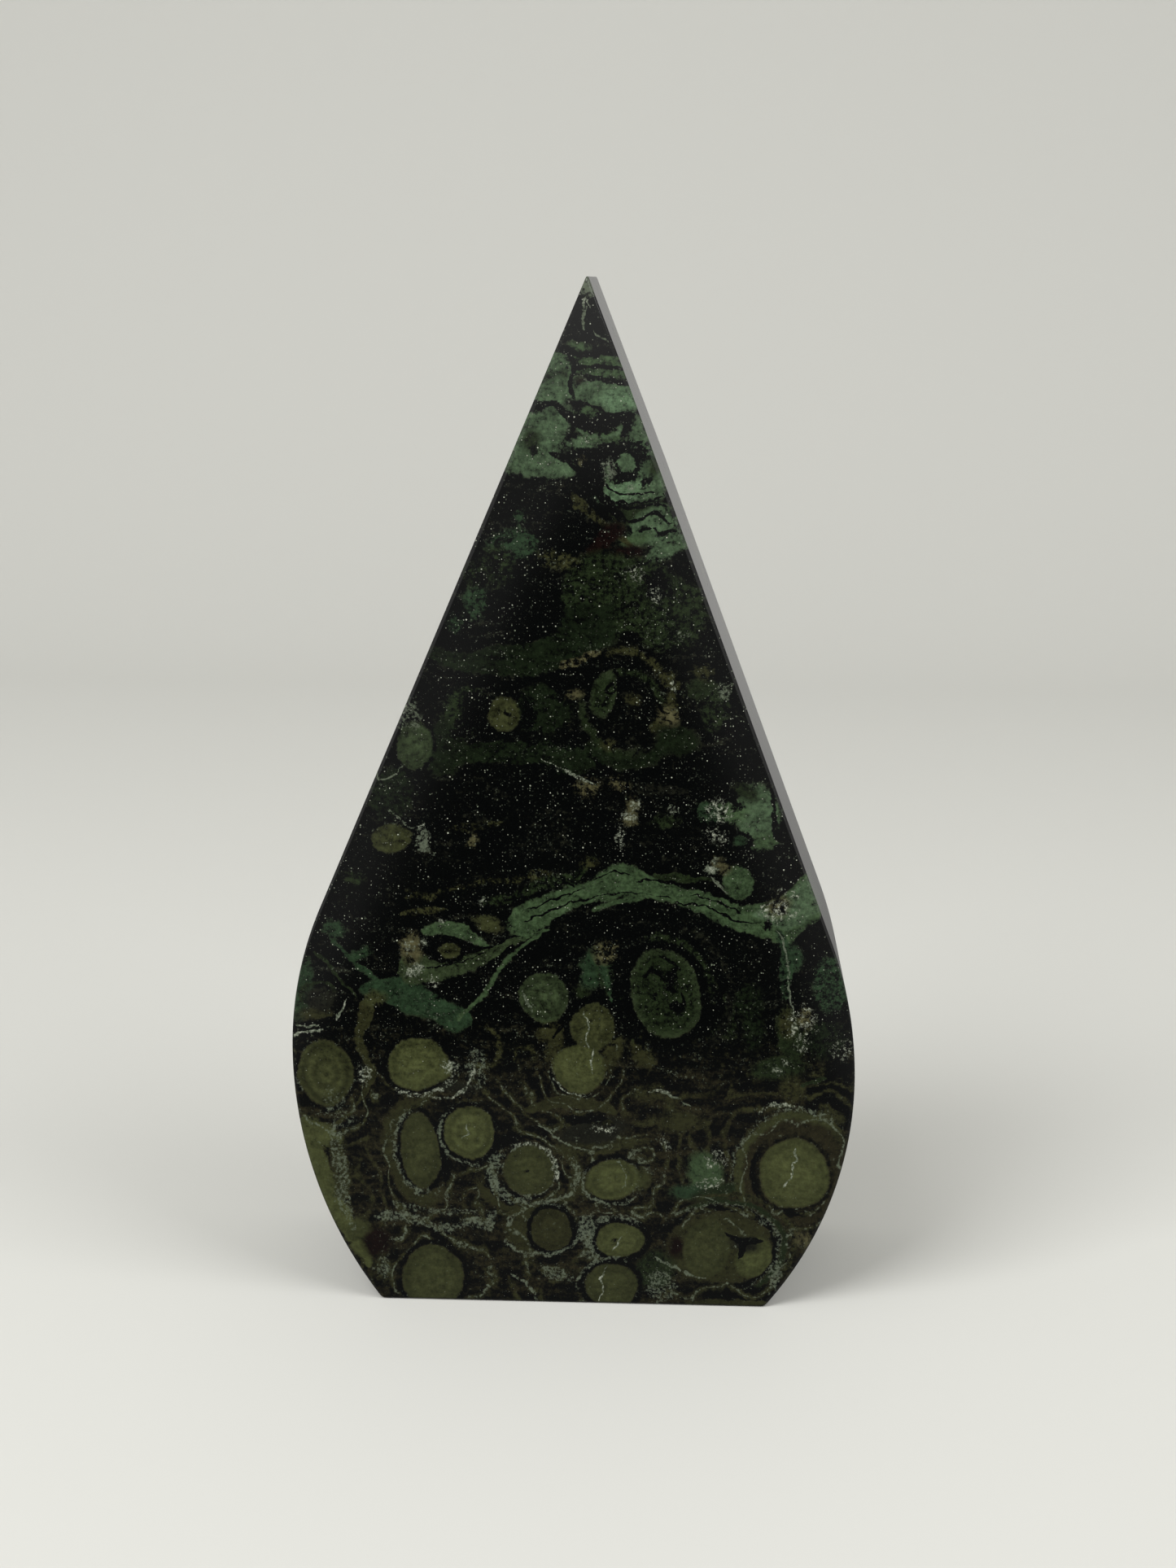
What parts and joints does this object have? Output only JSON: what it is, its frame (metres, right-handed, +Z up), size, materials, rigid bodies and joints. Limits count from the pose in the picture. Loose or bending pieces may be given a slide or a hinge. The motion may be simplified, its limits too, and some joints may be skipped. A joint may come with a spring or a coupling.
{
  "type": "polished kambaba jasper flame",
  "caption": "Flame-shaped slab of dark green and black orb-patterned jasper, polished on every side, that stands on its flat sawn base as an ornament.",
  "frame": {"origin": "middle of the flat base, halfway through the slab's thickness", "axes": "+Z up to the point, -Y out of the front face, +X to the right seen from the front"},
  "size_m": [0.0656, 0.026, 0.1195],
  "materials": {
    "stone": "polished"
  },
  "bodies": {
    "root": {"stone": "stone"}
  },
  "joints": []
}
